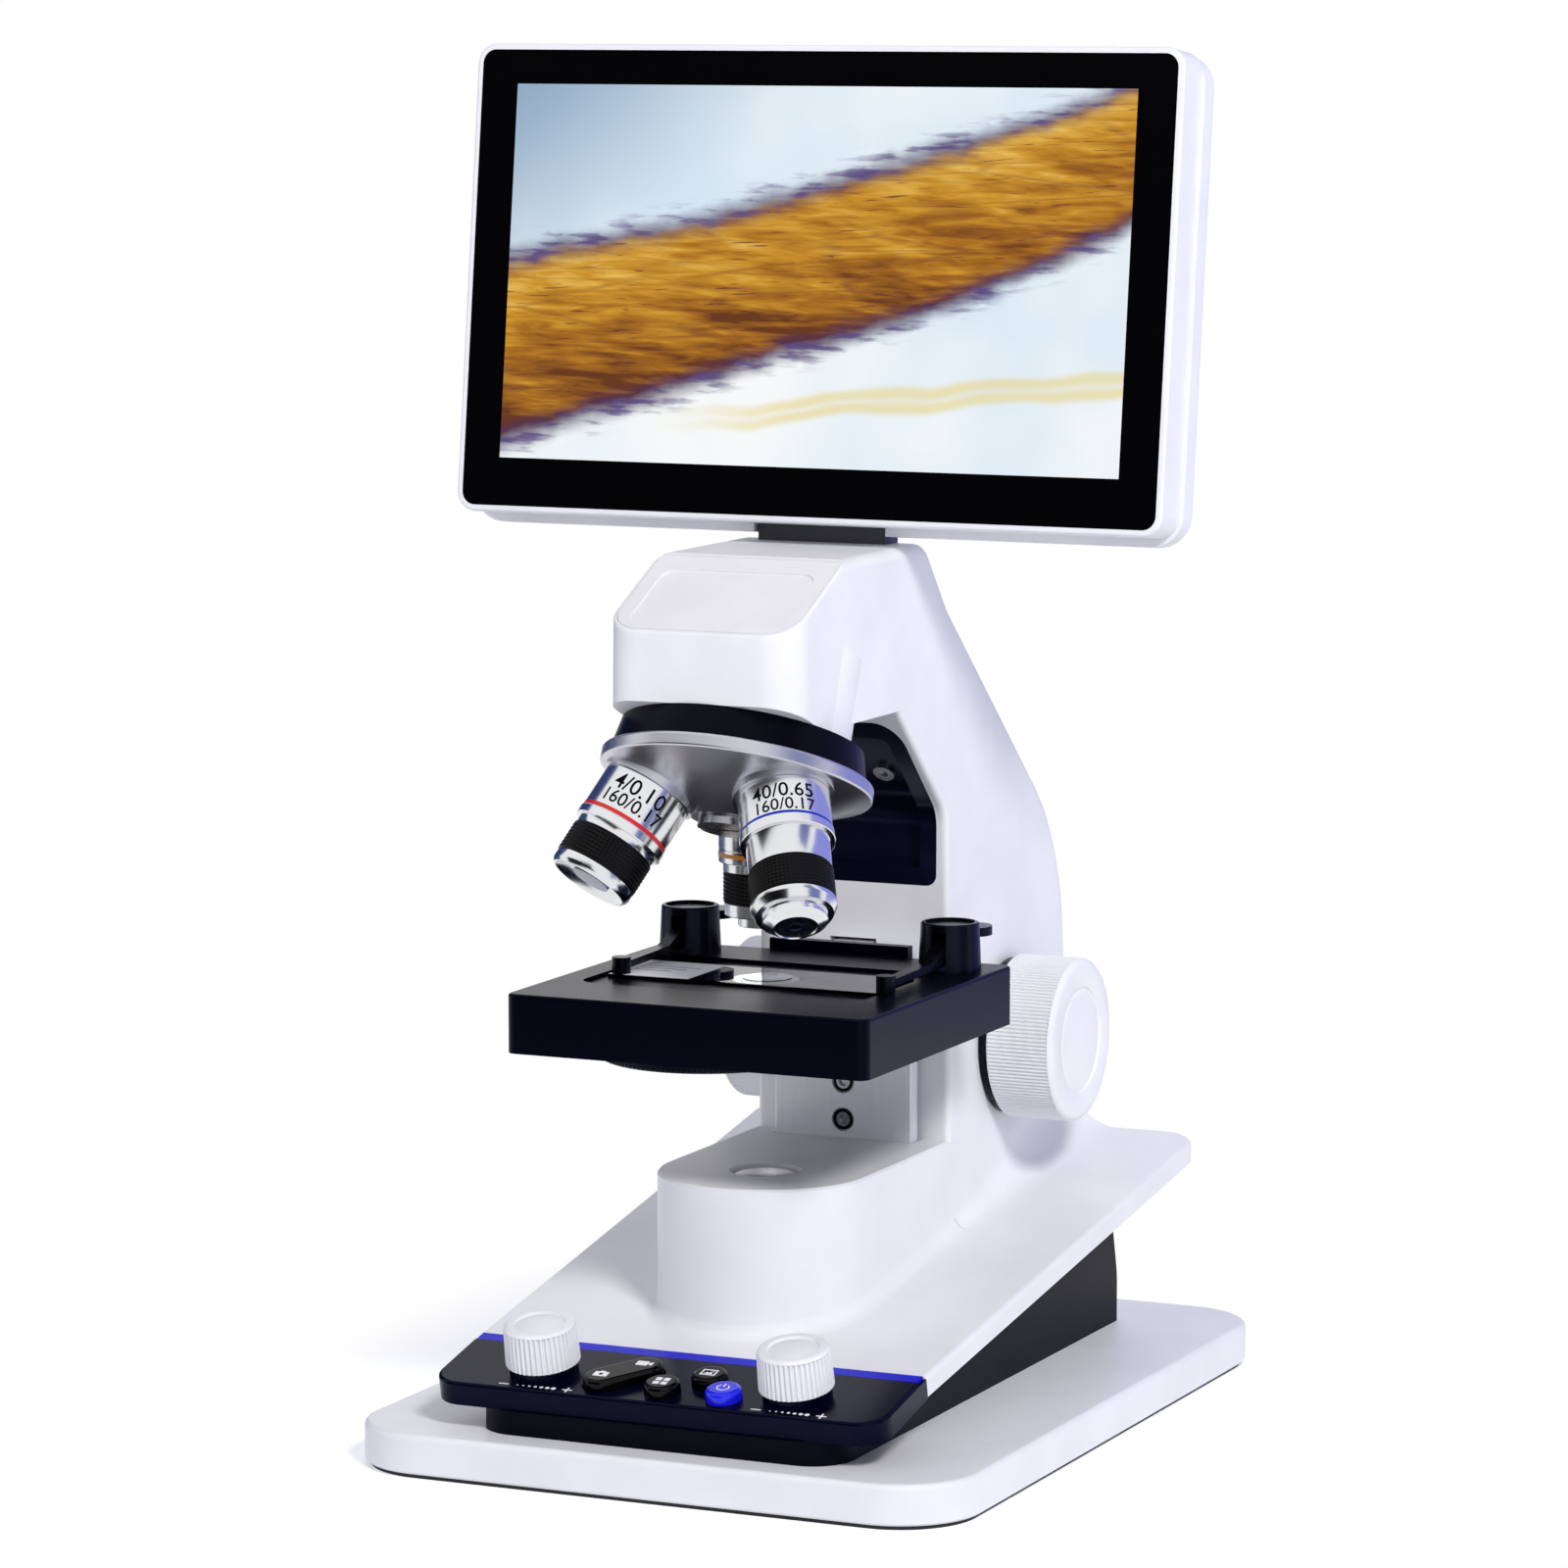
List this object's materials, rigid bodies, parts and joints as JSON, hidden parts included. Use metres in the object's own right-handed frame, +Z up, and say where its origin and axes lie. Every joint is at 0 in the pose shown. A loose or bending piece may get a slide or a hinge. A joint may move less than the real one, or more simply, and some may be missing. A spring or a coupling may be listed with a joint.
{
  "type": "lcd digital microscope",
  "caption": "LCD digital microscope: tilting colour screen on a curved arm, rotating turret of objectives, rack-focused stage with slide clips, lamp housing and control panel",
  "frame": {"origin": "centre of the underside of the base pad, on the table", "axes": "+X to the user's right, +Y to the back, +Z up; the screen and the panel face -Y"},
  "size_m": [0.2038, 0.23, 0.3631],
  "materials": {
    "white_shell": "satin moulded white",
    "dark_plastic": "dark blue-grey moulding",
    "black_plastic": "black moulding",
    "panel_gloss": "navy gloss",
    "blue_stripe": "bright blue gloss",
    "blue_button": "blue gloss",
    "rubber_pad": "matte foot pad",
    "stage_black": "black satin enamel",
    "black_metal": "black enamel",
    "satin_aluminium": "satin anodised",
    "chrome": "polished plate",
    "knurl_black": "black knurl",
    "steel": "turned steel",
    "brass": "turned brass",
    "optic_glass": "coated lens",
    "slide_glass": "clear slide",
    "screen_glass": "black bonded cover",
    "circuit_green": "circuit board",
    "cell_wrap": "shrink wrap",
    "lcd_metal": "display frame"
  },
  "bodies": {
    "root": {"base_plate": "white_shell", "base_pad": "rubber_pad", "base_riser": "dark_plastic", "main_board": "circuit_green", "battery_pack": "cell_wrap", "body_shell": "white_shell", "top_cover": "white_shell", "rear_cover": "white_shell", "arm_insert": "black_plastic", "port_socket": "steel", "illuminator_lens": "optic_glass", "led_module": "circuit_green", "camera_tube": "black_metal", "sensor_board": "circuit_green", "guide_rails": "steel", "focus_bushes": "brass", "friction_rings": "black_plastic", "nosepiece_ring": "black_metal", "nosepiece_stud": "steel", "control_panel": "panel_gloss", "panel_stripe": "blue_stripe", "rotary_encoders": "lcd_metal", "button_board": "circuit_green", "screen_neck": "dark_plastic", "body_screws": "steel"},
    "monitor": {"screen_glass": "screen_glass", "monitor_bezel": "white_shell", "lcd_module": "lcd_metal", "display_board": "circuit_green", "monitor_rear_shell": "white_shell", "hinge_pin": "steel", "monitor_screws": "steel"},
    "turret": {"turret_disc": "satin_aluminium", "objective_4x": "chrome", "objective_10x": "chrome", "objective_40x": "chrome", "grip_4x": "knurl_black", "grip_10x": "knurl_black", "grip_40x": "knurl_black", "objective_lenses": "optic_glass"},
    "stage": {"stage_plate": "stage_black", "stage_carriage": "stage_black", "slide_plate": "satin_aluminium", "slide_plate_screws": "steel", "rack_carriage": "satin_aluminium", "focus_rack": "steel", "iris_pivot": "steel", "microscope_slide": "slide_glass", "clip_posts": "black_plastic"},
    "iris": {"iris_disc": "black_metal"},
    "clip_left": {"clip_lever_left": "black_plastic"},
    "clip_right": {"clip_lever_right": "black_plastic"},
    "focus": {"focus_shaft": "steel", "focus_knobs": "white_shell"},
    "zoom": {"zoom_knob": "white_shell"},
    "brightness": {"brightness_knob": "white_shell"},
    "rocker": {"rocker_button": "black_plastic"},
    "menu": {"menu_button": "black_plastic"},
    "gallery": {"gallery_button": "black_plastic"},
    "power": {"power_button": "blue_button"}
  },
  "joints": [
    {"name": "screen_tilt", "type": "hinge", "parent": "root", "child": "monitor", "pos_m": [0, 0.0044, 0.245], "axis": [-1, 0, 0], "range_deg": [-6.9, 25]},
    {"name": "turret_turn", "type": "hinge", "parent": "root", "child": "turret", "pos_m": [0, -0.05207, 0.179], "axis": [0, -0.3827, -0.9239], "continuous": true},
    {"name": "stage_slide", "type": "slide", "parent": "root", "child": "stage", "axis": [0, 0, 1], "range_m": [-0.025, 0]},
    {"name": "focus_turn", "type": "hinge", "parent": "root", "child": "focus", "pos_m": [0, 0.0623, 0.0942], "axis": [-1, 0, 0], "range_deg": [-240, 1]},
    {"name": "iris_turn", "type": "hinge", "parent": "stage", "child": "iris", "pos_m": [-0.0091, -0.0527, 0.10505], "axis": [0, 0, 1], "continuous": true},
    {"name": "clip_left_lift", "type": "hinge", "parent": "stage", "child": "clip_left", "pos_m": [-0.0377, -0.0012, 0.1292], "axis": [-1, 0, 0], "range_deg": [0, 5], "stiffness_Nm_per_rad": 0.1, "springref_deg": -5.73},
    {"name": "clip_right_lift", "type": "hinge", "parent": "stage", "child": "clip_right", "pos_m": [0.0377, -0.0012, 0.1292], "axis": [-1, 0, 0], "range_deg": [0, 5], "stiffness_Nm_per_rad": 0.1, "springref_deg": -5.73},
    {"name": "zoom_turn", "type": "hinge", "parent": "root", "child": "zoom", "pos_m": [-0.0356, -0.09377, 0.02665], "axis": [0, -0.2147, 0.9767], "continuous": true},
    {"name": "brightness_turn", "type": "hinge", "parent": "root", "child": "brightness", "pos_m": [0.0356, -0.09377, 0.02665], "axis": [0, -0.2147, 0.9767], "range_deg": [-135, 135]},
    {"name": "rocker_tilt", "type": "hinge", "parent": "root", "child": "rocker", "pos_m": [-0.0127, -0.0934, 0.02263], "axis": [-0.7071, 0.6906, 0.1518], "range_deg": [-2.5, 2.5], "stiffness_Nm_per_rad": 0.05},
    {"name": "menu_press", "type": "slide", "parent": "root", "child": "menu", "axis": [0, 0.2147, -0.9767], "range_m": [0, 0.0008], "stiffness_N_per_m": 600, "springref_m": -0.0005},
    {"name": "gallery_press", "type": "slide", "parent": "root", "child": "gallery", "axis": [0, 0.2147, -0.9767], "range_m": [0, 0.0008], "stiffness_N_per_m": 600, "springref_m": -0.0005},
    {"name": "power_press", "type": "slide", "parent": "root", "child": "power", "axis": [0, 0.2147, -0.9767], "range_m": [0, 0.0008], "stiffness_N_per_m": 600, "springref_m": -0.0005}
  ],
  "couplings": [
    {"joint": "focus_turn", "follows": "stage_slide", "rad_per_m": 166.67}
  ]
}
